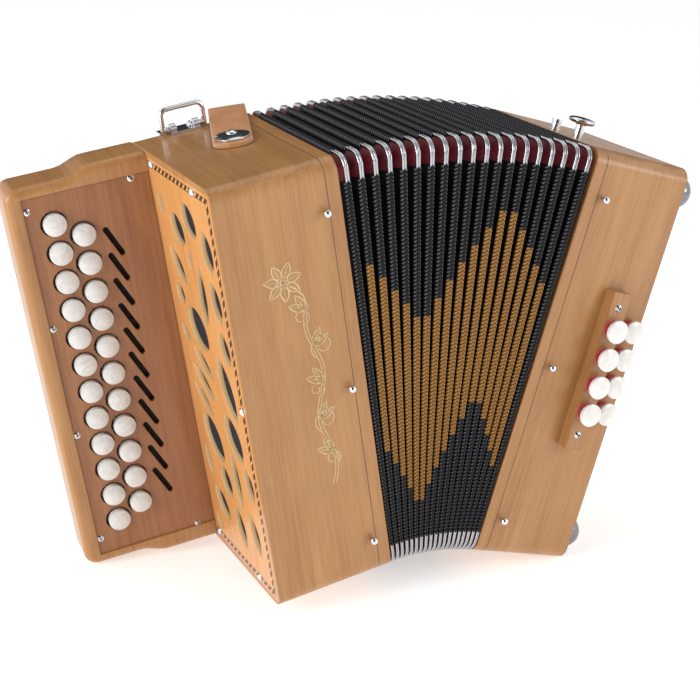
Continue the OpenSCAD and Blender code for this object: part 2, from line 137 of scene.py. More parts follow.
class Paint:
    """A node material. add() makes a node and joins or sets its inputs."""

    def __init__(self, name, **surface):
        self.material = bpy.data.materials.new(name)
        self.material.use_nodes = True
        self.tree = self.material.node_tree
        self.surface = self.tree.nodes["Principled BSDF"]
        for key, value in surface.items():
            self.set(key.replace("_", " "), value)

    def join(self, node, socket, value):
        if isinstance(value, bpy.types.NodeSocket):
            self.tree.links.new(value, node.inputs[socket])
        else:
            node.inputs[socket].default_value = value

    def set(self, socket, value):
        self.join(self.surface, socket, value)

    def add(self, kind, inputs, output=0, **settings):
        node = self.tree.nodes.new("ShaderNode" + kind)
        for key, value in settings.items():
            setattr(node, key, value)
        for key, value in inputs.items():
            self.join(node, key, value)
        return node.outputs[output]

    def math(self, operation, a, b=0.0):
        return self.add("Math", {0: a, 1: b}, operation=operation)

    def vector(self, operation, a, b):
        key = "Scale" if operation == "SCALE" else 1
        return self.add("VectorMath", {0: a, key: b}, operation=operation)

    def mix(self, share, a, b):
        return self.add("Mix", {0: share, 6: a, 7: b}, output=2, data_type="RGBA")

    def ramp(self, share, *stops):
        """Smooth steps through (position, colour or grey) stops."""
        node = self.tree.nodes.new("ShaderNodeValToRGB")
        self.join(node, 0, share)
        while len(node.color_ramp.elements) < len(stops):
            node.color_ramp.elements.new(0.5)
        for element, (position, colour) in zip(node.color_ramp.elements, stops):
            element.position = position
            element.color = colour if isinstance(colour, tuple) else (colour,) * 3 + (1.0,)
        return node.outputs[0]

    def noise(self, vector, scale, detail=3.0, roughness=0.5, distortion=0.0):
        return self.add("TexNoise", {"Vector": vector, "Scale": scale, "Detail": detail,
                                     "Roughness": roughness, "Distortion": distortion})

    def place(self, matrix=None):
        """Coordinates in millimetres, in that frame or the world's."""
        point = self.add("TexCoord", {}, output="Object")
        if matrix is None:
            return self.vector("SCALE", point, 1000.0)
        back = matrix.inverted()
        turn = back.to_euler()
        at = back.translation * MM
        local = self.add("Mapping", {"Vector": point, "Location": at, "Rotation": turn})
        return self.vector("SCALE", local, 1000.0)

    def normal(self, matrix):
        """The surface's own normal, in that frame."""
        facing = self.add("TexCoord", {}, output="Normal")
        return self.add("Mapping", {"Vector": facing, "Rotation": matrix.inverted().to_euler()},
                        vector_type="VECTOR")

    def split(self, vector, axis):
        return self.add("SeparateXYZ", {0: vector}, output=axis)

    def bump(self, height, distance, soft=0.0):
        """Relief of that height in metres, over edges softened by that radius."""
        inputs = {"Height": height, "Distance": distance, "Strength": 1.0}
        if soft:
            inputs["Normal"] = self.add("Bevel", {"Radius": soft}, samples=4)
        self.set("Normal", self.add("Bump", inputs))


def wood(name, matrix, light, middle_tone, dark, seam=None, cut=None, gloss=0.3, edge=0.0012):
    """Lacquered wood with its grain upright, and front to back on tops.
    seam darkens a thin joint at that x, and cut is the paler tone of sawn edges: partly their raw wood,
    partly painted light."""
    paint = Paint(name, Coat_Weight=gloss, Coat_Roughness=0.16, Coat_IOR=1.5)
    point, facing = paint.place(matrix), paint.normal(matrix)
    x, y, z = (paint.split(point, axis) for axis in "XYZ")
    upward = paint.math("GREATER_THAN", paint.math("ABSOLUTE", paint.split(facing, "Z")), 0.707)
    along = paint.add("Mix", {0: upward, 2: z, 3: y}, data_type="FLOAT")
    across = paint.add("Mix", {0: upward, 2: y, 3: z}, data_type="FLOAT")
    grain = paint.add("CombineXYZ", {0: x, 1: across, 2: paint.math("MULTIPLY", along, 0.045)})
    broad = paint.noise(grain, 0.055, 4, 0.55, 0.8)
    streaks = paint.noise(grain, 0.45, 6, 0.62, 0.25)
    pores = paint.noise(grain, 2.6, 2, 0.5)
    blotch = paint.noise(point, 0.018, 2)
    share = paint.math("ADD", paint.math("MULTIPLY", streaks, 0.55), paint.math("MULTIPLY", broad, 0.45))
    colour = paint.ramp(share, (0.34, dark), (0.5, middle_tone), (0.66, light))
    colour = paint.mix(paint.ramp(blotch, (0.35, 0.0), (0.7, 0.35)), colour, dark)
    colour = paint.mix(paint.ramp(pores, (0.63, 0.0), (0.72, 0.5)), colour, dark)
    if cut:
        # Sideways-facing walls take the cut tone: paler raw wood, lifted further as painted light.
        sawn = paint.math("LESS_THAN", paint.math("ABSOLUTE", paint.split(facing, "X")), 0.6)
        colour = paint.mix(sawn, colour, cut)
    if seam is not None:
        off = paint.math("ABSOLUTE", paint.math("SUBTRACT", x, seam))
        colour = paint.mix(paint.ramp(off, (0.14, 0.85), (0.3, 0.0)), colour, tone(52, 26, 12))
    paint.set("Base Color", colour)
    paint.set("Roughness", paint.ramp(share, (0.3, 0.46), (0.7, 0.36)))
    paint.bump(paint.math("SUBTRACT", share, paint.ramp(pores, (0.62, 0.0), (0.75, 0.6))), 0.00004, edge)
    return paint.material


HONEY = (tone(188, 139, 84), tone(176, 125, 72), tone(156, 106, 58))
# Redder wood for the recessed fingerboard panel; part of its darkness is painted shade.
SHADED_RED = (tone(168, 113, 66), tone(154, 99, 54), tone(133, 81, 42))


def leather(name, light, dark, matrix=None):
    """Smooth tanned leather: fine pebbling, creases and uneven dye."""
    paint = Paint(name, Specular_IOR_Level=0.4)
    point = paint.place(matrix)
    cells = paint.add("TexVoronoi", {"Vector": point, "Scale": 1.6}, feature="DISTANCE_TO_EDGE")
    creases = paint.noise(point, 0.35, 5, 0.6, 0.6)
    dye = paint.noise(point, 0.06, 3)
    share = paint.math("ADD", paint.math("MULTIPLY", creases, 0.5), paint.math("MULTIPLY", dye, 0.5))
    colour = paint.ramp(share, (0.35, dark), (0.65, light))
    colour = paint.mix(paint.ramp(cells, (0.0, 0.25), (0.12, 0.0)), colour, dark)
    paint.set("Base Color", colour)
    paint.set("Roughness", paint.ramp(creases, (0.3, 0.42), (0.7, 0.56)))
    relief = paint.math("ADD", paint.ramp(cells, (0.0, 0.0), (0.2, 0.5)), creases)
    paint.bump(relief, 0.00012)
    return paint.material


def metal(name, colour, rough, matrix=None, wear=0.5):
    """Plated metal with fine polishing marks and a little haze."""
    paint = Paint(name, Metallic=1.0)
    point = paint.place(matrix)
    haze = paint.noise(point, 0.12, 4, 0.6)
    marks = paint.noise(paint.vector("MULTIPLY", point, (1.0, 6.0, 1.0)), 1.4, 2)
    worn = tuple(c * 0.82 for c in colour[:3]) + (1.0,)
    paint.set("Base Color", paint.mix(paint.ramp(haze, (0.4, 0.0), (0.75, wear)), colour, worn))
    paint.set("Roughness", paint.ramp(haze, (0.3, rough * 0.7), (0.8, rough * 1.6)))
    paint.bump(marks, 0.000002, 0.0003)
    return paint.material


def cloth(name, light, dark, threads, depth, rough=0.85):
    """Woven cloth: two crossed sets of threads, a few to the millimetre."""
    paint = Paint(name, Roughness=rough, Sheen_Weight=0.03, Specular_IOR_Level=0.15)
    point = paint.place(TREBLE)
    waves = [paint.math("SINE", paint.math("MULTIPLY", paint.split(point, axis), threads * math.tau))
             for axis in "YZ"]
    weave = paint.math("MULTIPLY", *waves)
    share = paint.math("MULTIPLY_ADD", weave, 0.5)
    share.node.inputs[2].default_value = 0.5
    uneven = paint.noise(point, 0.1, 3)
    colour = paint.ramp(share, (0.2, dark), (0.8, light))
    paint.set("Base Color", paint.mix(paint.ramp(uneven, (0.4, 0.0), (0.8, 0.5)), colour, dark))
    paint.bump(share, depth)
    return paint.material


def braid(name, ridge, groove_shade, glint, rough, sheen=0.02):
    """Flat braid, read from its UVs: u runs along it in millimetres, v across it from 0 to 1.
    glint is a painted highlight on the loops along both edges, and the groove tone is painted shade in
    the plait's grooves."""
    paint = Paint(name, Sheen_Weight=sheen, Specular_IOR_Level=0.2)
    uv = paint.add("UVMap", {}, uv_map="along")
    u, v = paint.split(uv, "X"), paint.split(uv, "Y")
    off = paint.math("ABSOLUTE", paint.math("SUBTRACT", v, 0.5))
    phase = paint.math("ADD", paint.math("MULTIPLY", u, 1 / PLAIT), paint.math("MULTIPLY", off, 1.5))
    wave = paint.math("SINE", paint.math("MULTIPLY", phase, math.tau))
    plait = paint.ramp(paint.add("MapRange", {0: wave, 1: -1.0, 2: 1.0}), (0.1, 0.0), (0.75, 1.0))
    fuzz = paint.noise(paint.place(), 1.1, 4, 0.6)
    # Painted shade: the plait's grooves take the darker groove tone, its ridges the ridge tone.
    colour = paint.mix(plait, groove_shade, ridge)
    colour = paint.mix(paint.ramp(fuzz, (0.45, 0.0), (0.8, 0.35)), colour, groove_shade)
    # Painted highlight: the glint tone on the raised loops along both edges.
    rim = paint.math("MULTIPLY", paint.ramp(off, (0.2, 0.0), (0.34, 1.0)),
                     paint.ramp(plait, (0.62, 0.0), (0.95, 1.0)))
    paint.set("Base Color", paint.mix(rim, colour, glint))
    paint.set("Roughness", paint.ramp(plait, (0.0, min(1.0, rough + 0.25)), (1.0, rough)))
    paint.bump(paint.math("ADD", plait, paint.math("MULTIPLY", fuzz, 0.25)), 0.0003)
    return paint.material


def plastic(name, light, shade, rough, swirl=0.05):
    """Polished plastic with a faint cloudy swirl."""
    paint = Paint(name, Coat_Weight=0.5, Coat_Roughness=0.08, Subsurface_Weight=0.08,
                  Subsurface_Radius=(0.002, 0.002, 0.0018), Subsurface_Scale=1.0)
    point = paint.place()
    clouds = paint.noise(point, swirl, 5, 0.6, 2.5)
    dust = paint.noise(point, 2.0, 3)
    paint.set("Base Color", paint.ramp(clouds, (0.35, shade), (0.6, light)))
    paint.set("Roughness", paint.ramp(dust, (0.35, rough), (0.75, rough + 0.12)))
    paint.bump(paint.math("ADD", clouds, dust), 0.00002, 0.0004)
    return paint.material


def felt(name, light, dark):
    paint = Paint(name, Roughness=0.95, Sheen_Weight=0.8, Sheen_Roughness=0.4)
    point = paint.place()
    fibres = paint.noise(point, 1.6, 6, 0.75, 1.5)
    paint.set("Base Color", paint.ramp(fibres, (0.3, dark), (0.7, light)))
    paint.bump(fibres, 0.0006)
    return paint.material


def rope_inlay():
    """Twisted dark and pale veneer, set between two thin dark lines. UVs are millimetres."""
    paint = Paint("rope_inlay", Coat_Weight=0.3, Coat_Roughness=0.16, Roughness=0.4)
    uv = paint.add("UVMap", {}, uv_map="along")
    u, v = paint.split(uv, "X"), paint.split(uv, "Y")
    slant = paint.math("ADD", paint.math("DIVIDE", u, 6.2), paint.math("MULTIPLY", v, 0.32))
    strand = paint.math("ABSOLUTE", paint.math("SUBTRACT", paint.math("FRACT", slant), 0.5))
    pale = paint.ramp(strand, (0.3, 0.0), (0.36, 1.0))
    grain = paint.noise(paint.place(), 0.8, 4)
    dark = paint.ramp(grain, (0.35, tone(54, 30, 14)), (0.7, tone(86, 50, 24)))
    light = paint.ramp(grain, (0.35, tone(206, 146, 84)), (0.7, tone(236, 184, 118)))
    side = paint.ramp(paint.math("ABSOLUTE", v), (0.78, 0.0), (0.84, 1.0))
    paint.set("Base Color", paint.mix(side, paint.mix(pale, dark, light), dark))
    paint.bump(paint.math("SUBTRACT", pale, paint.math("MULTIPLY", grain, 0.2)), 0.00005)
    return paint.material


# ---- mesh helpers ----
def piece(name, points, faces, matrix, materials, kinds=None, uvs=None, smooth=True):
    """A mesh object from points in that frame. kinds gives each face's material, uvs its points'."""
    mesh = bpy.data.meshes.new(name)
    mesh.from_pydata([matrix @ Vector(p) for p in points], [], faces)
    for material in materials:
        mesh.materials.append(material)
    if kinds:
        mesh.polygons.foreach_set("material_index", kinds)
    mesh.polygons.foreach_set("use_smooth", [smooth] * len(mesh.polygons))
    work = bmesh.new()
    work.from_mesh(mesh)
    bmesh.ops.recalc_face_normals(work, faces=work.faces)
    work.to_mesh(mesh)
    work.free()
    if smooth:
        mesh.set_sharp_from_angle(angle=math.radians(38))
    if uvs:
        layer = mesh.uv_layers.new(name="along")
        spots = np.array(uvs, float)[[loop.vertex_index for loop in mesh.loops]]
        layer.data.foreach_set("uv", spots.ravel())
    mesh.validate()
    made = bpy.data.objects.new(name, mesh)
    bpy.context.scene.collection.objects.link(made)
    return made


def circle(count):
    """That many angles, evenly round a whole turn."""
    return np.linspace(0, math.tau, count + 1)[:-1]


class Build:
    """Points, faces, materials, UVs and fold shares gathered for one piece."""

    def __init__(self):
        self.points, self.faces, self.kinds, self.uvs, self.shares = [], [], [], [], []

    def tube(self, rings, kinds=None, uvs=None, shares=None, edge=None):
        """Joins rings of equal length into a closed skin with capped ends.
        edge is (points, kind): those of each ring's points start faces of that kind."""
        start, count = len(self.points), len(rings[0])
        for ring in rings:
            self.points.extend(ring)
        self.uvs.extend(uvs or [(0, 0)] * (len(rings) * count))
        self.shares.extend(shares or [0] * (len(rings) * count))
        for i in range(len(rings) - 1):
            for j in range(count):
                k = (j + 1) % count
                low, high = start + i * count, start + (i + 1) * count
                self.faces.append((low + j, low + k, high + k, high + j))
                own = kinds[i] if kinds else 0
                self.kinds.append(edge[1] if edge and j in edge[0] else own)
        last = start + (len(rings) - 1) * count
        self.faces.append(tuple(range(start + count - 1, start - 1, -1)))
        self.faces.append(tuple(range(last, last + count)))
        self.kinds.extend([kinds[0], kinds[-1]] if kinds else [0, 0])

    def make(self, name, matrix, materials, smooth=True):
        return piece(name, self.points, self.faces, matrix, materials, self.kinds, self.uvs, smooth)


def bend_with_fan(made):
    """Bakes the piece's placement into its mesh."""
    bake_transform(made)


# ---- bellows ----
def fan_point(share, off, y, z):
    """A point off a fold plane that has turned by that share of the fan."""
    turn, reach = share * FAN, FAN_RADIUS + z
    return (TREBLE_WIDTH + off * math.cos(turn) + reach * math.sin(turn), y,
            reach * math.cos(turn) - off * math.sin(turn) - FAN_RADIUS)


def fold_share(ring):
    return END_GAP + (1 - 2 * END_GAP) * ring / (2 * FOLDS)


def corner_arc(corner, inset, radius, count):
    """(y, z) points round one corner of the casing's outline, from front-bottom round to front-top."""
    y = inset + radius if corner in (0, 3) else DEPTH - inset - radius
    z = inset + radius if corner < 2 else HEIGHT - inset - radius
    start = math.pi + corner * math.pi / 2
    return [(y + radius * math.cos(start + a), z + radius * math.sin(start + a))
            for a in np.linspace(0, math.pi / 2, count)]


def pleat_ring(inset, corner_inset, corner_radius):
    """Outline of one pleat edge with whether each span belongs to a corner gusset."""
    ring, gusset = [], []
    for corner in range(4):
        arc = corner_arc(corner, corner_inset, corner_radius, 6)
        ring += arc
        gusset += [True] * 6
        length = DEPTH if corner % 2 == 0 else HEIGHT
        steps = list(SIDE_STEPS)
        steps += [length - s for s in reversed(SIDE_STEPS)]
        for i, s in enumerate(steps):
            near = min(s, length - s)
            share = min(1, max(0, (near - LEG_END) / LEG_FADE))
            depth = corner_inset + (inset - corner_inset) * share * share * (3 - 2 * share)
            ring.append([(s, depth), (DEPTH - depth, s), (DEPTH - s, HEIGHT - depth),
                         (depth, HEIGHT - s)][corner])
            gusset.append(near <= LEG_END if i < len(steps) - 1 else True)
            if i == 0:
                gusset[-1] = False
    return ring, gusset


def make_pleats(materials):
    """The skin: outer edges under the tapes, inner edges deep between, shallow ends at the frames."""
    build = Build()
    rings = []  # (edge, place off it, depth, depth at the corners, corner radius)
    for j in range(2 * FOLDS + 1):
        if j % 2:
            rings += [(j, -0.5, 1.2, 1.2, 8), (j, 0.5, 1.2, 1.2, 8)]
        elif j in (0, 2 * FOLDS):
            rings.append((j, 0.0, 3, 3, 6))
        else:
            rings.append((j, 0.0, FOLD_DEPTH, 6.5, 5))
    outer, inner, shares = [], [], []
    for j, off, inset, corner_inset, radius in rings:
        share = fold_share(j)
        ring, gusset = pleat_ring(inset, corner_inset, radius)
        back, _ = pleat_ring(inset + 1, corner_inset + 1, max(1, radius - 1))
        outer.append([fan_point(share, off, *p) for p in ring])
        inner.append([fan_point(share, off, *p) for p in back])
        shares.append(share)
    count = len(outer[0])
    for layer in (outer, inner):
        for ring, share in zip(layer, shares):
            build.points += ring
            build.shares += [share] * count
    build.uvs = [(0, 0)] * len(build.points)
    total = len(rings) * count
    for i in range(len(rings) - 1):
        for j in range(count):
            k = (j + 1) % count
            a, b, c, d = i * count + j, i * count + k, (i + 1) * count + k, (i + 1) * count + j
            kind = 1 if gusset[j] else 0
            build.faces += [(a, b, c, d), (a + total, d + total, c + total, b + total)]
            build.kinds += [kind, 0]
    for base in (0, (len(rings) - 1) * count):
        for j in range(count):
            k = (j + 1) % count
            quad = (base + j, base + k, base + k + total, base + j + total)
            build.faces.append(quad if base == 0 else quad[::-1])
            build.kinds.append(0)
    made = build.make("bellows_pleats", TREBLE, materials)
    made.data.polygons.foreach_set("use_smooth", [False] * len(made.data.polygons))
    bend_with_fan(made)
    return made


def tape_spread(z):
    """Share of a tape's width that opens with the fan: it is about 4.4 mm wide when fanned."""
    stretch = FAN * (FAN_RADIUS + z) / CLOSED_LENGTH
    return min(1, 0.91 / max(0.01, stretch - 1))


def cap_spread(_z):
    return 0.24


def cross_section(build, k, path, profile, spread, kinds=None):
    """A bead along path on fold k. path gives (y, z, outward y, outward z, run), profile (off, out)."""
    centre = fold_share(2 * k + 1)
    rings, uvs, shares = [], [], []
    for y, z, out_y, out_z, run in path:
        ring = []
        for j, (off, out) in enumerate(profile(run)):
            share = centre + spread(z) * off / CLOSED_LENGTH
            ring.append(fan_point(share, (1 - spread(z)) * off, y + out * out_y, z + out * out_z))
            uvs.append((run, 0.5 + off / TAPE_WIDTH))
            shares.append(share)
        rings.append(ring)
    build.tube(rings, kinds, uvs, shares)


def tape_profile(run):
    """Half-round tape, lightly scalloped along its run, over a base inside the pleat."""
    swell = 0.1 * math.sin(math.tau * run / PLAIT)
    top = [(-TAPE_WIDTH / 2 * math.cos(a) * (1 + 0.05 * swell), -1.35 + (1.45 + swell) * math.sin(a))
           for a in np.linspace(0, math.pi, 9)]
    return [(-TAPE_WIDTH / 2, -2.0)] + top + [(TAPE_WIDTH / 2, -2.0)]


def cap_profile(_run):
    """Two fine wires side by side, pressed from one strip."""
    half = CAP_WIDTH / 2
    top = [(x, -0.5 + 0.65 * abs(math.sin(math.pi * x / half)) ** 0.7)
           for x in np.linspace(-half, half, 13)]
    return [(-half, -1.7)] + top + [(half, -1.7)]


def side_path(side, start, end, step=0.97):
    """Stations up or along one side of the outline: front, top, back or bottom."""
    count = max(2, round((end - start) / step) + 1)
    spots = np.linspace(start, end, count)
    if side == "front":
        return [(0, s, -1, 0, s) for s in spots]
    if side == "back":
        return [(DEPTH, s, 1, 0, s) for s in spots]
    if side == "top":
        return [(s, HEIGHT, 0, 1, s) for s in spots]
    return [(s, 0, 0, -1, s) for s in spots]


def gold_band(k):
    """Lowest and highest gold point of fold k's front tape, as shares of the height.
    The band falls to tape 6, climbs to tape 13 and falls again. The first and last tapes are plain."""
    n = k + 1
    if n in (1, FOLDS):
        return None
    if n <= 6:
        top = 0.605 + 0.036 * (6 - n)
    elif n <= 13:
        top = 0.603 + 0.0385 * (n - 7)
    else:
        top = 0.832 - 0.039 * (n - 14)
    return top - 0.45, top


def make_tapes(materials):
    build = Build()
    for k in range(FOLDS):
        band = gold_band(k)
        if band:
            low, high = (b * HEIGHT for b in band)
            runs = [(LEG_END, low, 0), (low, high, 1), (high, HEIGHT - LEG_END, 0)]
        else:
            runs = [(LEG_END, HEIGHT - LEG_END, 0)]
        for start, end, kind in runs:
            path = side_path("front", start, end)
            cross_section(build, k, path, tape_profile, tape_spread, [kind] * len(path))
        for side, end in (("back", HEIGHT), ("top", DEPTH), ("bottom", DEPTH)):
            path = side_path(side, LEG_END, end - LEG_END)
            cross_section(build, k, path, tape_profile, tape_spread)
    made = build.make("bellows_tapes", TREBLE, materials)
    bend_with_fan(made)
    return made


def make_corners(materials):
    build = Build()
    for k in range(FOLDS):
        for corner in range(4):
            arc = corner_arc(corner, 0, EDGE_RADIUS, 9)
            start = math.pi + corner * math.pi / 2
            turns = [start + a for a in np.linspace(0, math.pi / 2, 9)]
            outs = [(math.cos(a), math.sin(a)) for a in turns]
            first, last = outs[0], outs[-1]
            path = [(*p, *o, i) for i, (p, o) in enumerate(zip(arc, outs))]
            lead = [(arc[0][0] - last[0] * s, arc[0][1] - last[1] * s, *first, -s)
                    for s in (CORNER_LEG + 0.6, CORNER_LEG / 2)]
            tail = [(arc[-1][0] - first[0] * s, arc[-1][1] - first[1] * s, *last, 9 + s)
                    for s in (CORNER_LEG / 2, CORNER_LEG + 0.6)]
            cross_section(build, k, lead + path + tail, cap_profile, cap_spread)
    made = build.make("bellows_corner_caps", TREBLE, materials)
    bend_with_fan(made)
    return made


# ---- fingerboard ----
def board_outline(steps=4):
    """(x, z, outward x, outward z) round the fingerboard from the casing's foot to its top."""
    free = BOARD_LENGTH - BOARD_ROUND
    step_start, step_run, foot_height = 34, 18, 1
    foot = []
    for u in np.arange(0, free, steps):
        share = min(1, max(0, (u - step_start) / step_run))
        slope = BOARD_STEP * 6 * share * (1 - share) / step_run
        z = foot_height + BOARD_STEP * share * share * (3 - 2 * share)
        length = math.hypot(1, slope)
        foot.append((-u, z, -slope / length, -1 / length))
    for a in np.linspace(0, math.pi / 2, 9):
        foot.append((-free - BOARD_ROUND * math.sin(a),
                     BOARD_STEP + foot_height + BOARD_ROUND * (1 - math.cos(a)),
                     -math.sin(a), -math.cos(a)))
    return foot + [(x, HEIGHT - z, ox, -oz) for x, z, ox, oz in reversed(foot)]


def make_fingerboard(material):
    """Hollow body with a broad rounding on its free edges and a pocket for the panel and levers."""
    front_round, back_round, lip, floor = 5.0, 2.0, 0.5, 2.5
    left, low = -BOARD_LENGTH + RIM + 1, BOARD_STEP + RIM - 1
    outline = board_outline()

    def at_casing(x, y):
        return min(x, -y * math.tan(BOARD_SLOPE))

    def pocket(y, grow):
        return [(at_casing(max(x, left - grow), y), y,
                 min(HEIGHT - low + grow, max(low - grow, z))) for x, z, _, _ in outline]

    def outside(y, inset):
        return [(at_casing(x - inset * ox, y) if 0 < i < len(outline) - 1 else at_casing(0, y), y,
                 z - inset * oz) for i, (x, z, ox, oz) in enumerate(outline)]

    rings = [pocket(BOARD_THICKNESS - floor, 0), pocket(lip, 0), pocket(lip * 0.3, lip * 0.3),
             pocket(0, lip)]
    for a in np.linspace(math.pi / 2, 0, 8):
        rings.append(outside(front_round * (1 - math.sin(a)), front_round * (1 - math.cos(a))))
    for a in np.linspace(0, math.pi / 2, 5):
        rings.append(outside(BOARD_THICKNESS - back_round * (1 - math.sin(a)),
                             back_round * (1 - math.cos(a))))
    build = Build()
    count = len(outline)
    for ring in rings:
        build.points += ring
    for i in range(len(rings) - 1):
        for j in range(count - 1):
            a, b = i * count + j, (i + 1) * count + j
            build.faces.append((a, a + 1, b + 1, b))
    last = (len(rings) - 1) * count
    build.faces += [tuple(range(count)), tuple(range(last, last + count)),
                    tuple(i * count for i in range(len(rings)))
                    + tuple(i * count + count - 1 for i in reversed(range(len(rings))))]
    build.kinds = [0] * len(build.faces)
    build.uvs = [(0, 0)] * len(build.points)
    made = build.make("fingerboard_body", BOARD, [material])
    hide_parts("fingerboard_box")
    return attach(made, "treble")


# ---- straps ----
def strap_ring(centre, across, out, half_width, thickness, crown):
    """A flat strap's rounded cross-section. STRAP_EDGE holds the points that start its cut edges."""
    half, soft = thickness / 2, min(0.7, half_width * 0.4)
    spots = [(x, half + crown * (1 - x * x)) for x in np.linspace(-1, 1, 7)]
    ring = [(x * (half_width - soft), n) for x, n in spots]
    near_edge = half_width - 0.3 * soft
    ring += [(near_edge, half * 0.7), (half_width, 0), (near_edge, -half * 0.7)]
    ring += [(x * (half_width - soft), -half) for x in np.linspace(1, -1, 6)]
    ring += [(-near_edge, -half * 0.7), (-half_width, 0), (-near_edge, half * 0.7)]
    centre, across, out = Vector(centre), Vector(across), Vector(out)
    return [tuple(centre + across * x + out * n) for x, n in ring]


STRAP_EDGE = {6, 7, 8, 9, 15, 16, 17, 18}
BEND_LEAD = BEND_RADIUS * math.tan(DROOP / 2)


def make_bellows_strap(materials):
    """Leather from the rivet over the casing's back edge, hanging down beyond it."""
    path = [(y, STRAP_MIDDLE, 0) for y in np.linspace(-STRAP_TAIL, STRAP_BEND - BEND_LEAD, 46)]
    for a in np.linspace(0, DROOP, 9)[1:]:
        path.append((STRAP_BEND - BEND_LEAD + BEND_RADIUS * math.sin(a),
                     STRAP_MIDDLE - BEND_RADIUS * (1 - math.cos(a)), a))
    y, z, _ = path[-1]
    for s in np.linspace(0, STRAP_DROP - BEND_LEAD, 26)[1:]:
        path.append((y + s * math.cos(DROOP), z - s * math.sin(DROOP), DROOP))
    end_run, squareness = 9, 2.6
    runs = [0]
    for (y0, z0, _), (y1, z1, _) in zip(path, path[1:]):
        runs.append(runs[-1] + math.hypot(y1 - y0, z1 - z0))
    build = Build()
    rings = []
    for (y, z, turn), run in zip(path, runs):
        near = min(run, runs[-1] - run) / end_run
        width = STRAP_HALF * (1 - max(0, 1 - near) ** squareness) ** (1 / squareness)
        rings.append(strap_ring((0, y, z), (1, 0, 0), (0, math.sin(turn), math.cos(turn)),
                                max(2.5, width), STRAP_THICKNESS, 0.15))
    build.tube(rings, edge=(STRAP_EDGE, 1))
    made = build.make("bellows_strap_leather", STRAP, materials)
    punch = piece("strap_punch", *cylinder(4.2, -4, 4, 40),
                  STRAP_END @ Matrix.Translation((0, STRAP_HOLE, 0)), materials[:1])
    cut = made.modifiers.new("hole", "BOOLEAN")
    cut.object, cut.operation, cut.solver = punch, "DIFFERENCE", "EXACT"
    bpy.context.view_layer.update()
    made.data = bpy.data.meshes.new_from_object(made.evaluated_get(bpy.context.evaluated_depsgraph_get()))
    made.modifiers.clear()
    bpy.data.objects.remove(punch)
    back = STRAP.inverted()
    for vertex in made.data.vertices:
        y, z = (back @ vertex.co).yz
        turn = math.atan2(y - (STRAP_BEND - BEND_LEAD), z - (STRAP_MIDDLE - BEND_RADIUS))
    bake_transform(made)
    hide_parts("bellows_strap", "bellows_strap_end")
    return made


def cylinder(radius, low, high, count):
    """Points and faces of a closed cylinder along z."""
    ring = [(radius * math.cos(a), radius * math.sin(a)) for a in circle(count)]
    points = [(x, y, z) for z in (low, high) for x, y in ring]
    faces = [(i, (i + 1) % count, (i + 1) % count + count, i + count) for i in range(count)]
    return points, faces + [tuple(range(count)), tuple(range(2 * count - 1, count - 1, -1))]


def turned(build, outline, count=48, closed=False):
    """A turned solid about z from an outline of (radius, z). closed joins its ends, as in a ring."""
    start, rows = len(build.points), len(outline)
    for radius, z in outline:
        for a in circle(count):
            build.points.append((radius * math.cos(a), radius * math.sin(a), z))
    build.uvs += [(0, 0)] * (rows * count)
    for i in range(rows if closed else rows - 1):
        for j in range(count):
            a, b = start + i * count, start + (i + 1) % rows * count
            k = (j + 1) % count
            build.faces.append((a + j, a + k, b + k, b + j))
            build.kinds.append(0)
    if not closed:
        last = start + (rows - 1) * count
        build.faces += [tuple(range(start, start + count)), tuple(range(last, last + count))]
        build.kinds += [0, 0]


def make_eyelet(material):
    """Plated ring round the strap's press-stud hole."""
    build = Build()
    under = -STRAP_THICKNESS / 2
    section = [(5.3 + 1.2 * math.cos(a), max(under, (STRAP_THICKNESS / 2 + 0.55) * math.sin(a)))
               for a in circle(16)]
    turned(build, section, closed=True)
    made = build.make("bellows_strap_eyelet", STRAP_END @ Matrix.Translation((0, STRAP_HOLE, 0)),
                      [material])
    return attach(made, "strap_end")


def hand_strap_path():
    """(x, z, slope angle) of the hand strap's middle line, from its lower end to its upper."""
    radius = (HAND_SPAN ** 2 / 4 + HAND_BOW ** 2) / (2 * HAND_BOW)
    spots = []
    flat, ease = HAND_THICKNESS / 2 + 0.05, 1.6
    for z in np.linspace(-HAND_HALF, HAND_HALF, 93):
        bow = math.sqrt(radius ** 2 - z ** 2) - radius + HAND_BOW - HAND_THICKNESS / 2
        if bow < flat + 12:
            bow = flat + math.log1p(math.exp((bow - flat) * ease)) / ease
        spots.append((bow, z))
    path = []
    for i, (x, z) in enumerate(spots):
        (x0, z0), (x1, z1) = spots[max(0, i - 1)], spots[min(len(spots) - 1, i + 1)]
        path.append((BASS_WIDTH + x, HEIGHT / 2 + z, math.atan2(x1 - x0, z1 - z0)))
    return path


def make_hand_strap(materials, thread):
    """Wide leather strap with a row of stitches inside each edge."""
    path = hand_strap_path()
    seam = HAND_WIDTH / 2 - 4
    y = DEPTH / 2 + 2
    rings = [strap_ring((x, y, z), (0, 1, 0), (math.cos(a), 0, -math.sin(a)), HAND_WIDTH / 2,
                        HAND_THICKNESS, 0.35) for x, z, a in path]
    build = Build()
    build.tube(rings, edge=(STRAP_EDGE, 1))
    made = build.make("hand_strap_leather", BASS, materials)
    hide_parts("hand_strap")
    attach(made, "bass")
    stitches = Build()
    for side in (-1, 1):
        for i in range(6, len(path) - 6):
            (x0, z0, a), (x1, z1, _) = path[i], path[i + 1]
            out = Vector((math.cos(a), 0, -math.sin(a)))
            rings = []
            for s, lift in ((0.1, 0.0), (0.3, 0.28), (0.7, 0.28), (0.9, 0.0)):
                centre = Vector((x0 + (x1 - x0) * s, y + side * seam, z0 + (z1 - z0) * s))
                centre += out * (HAND_THICKNESS / 2 + 0.05 + lift)
                rings.append([tuple(centre + Vector((0, 0.32 * math.cos(t), 0))
                                    + out * 0.25 * math.sin(t)) for t in circle(6)])
            stitches.tube(rings)
    sewn = stitches.make("hand_strap_stitches", BASS, [thread])
    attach(sewn, "bass")


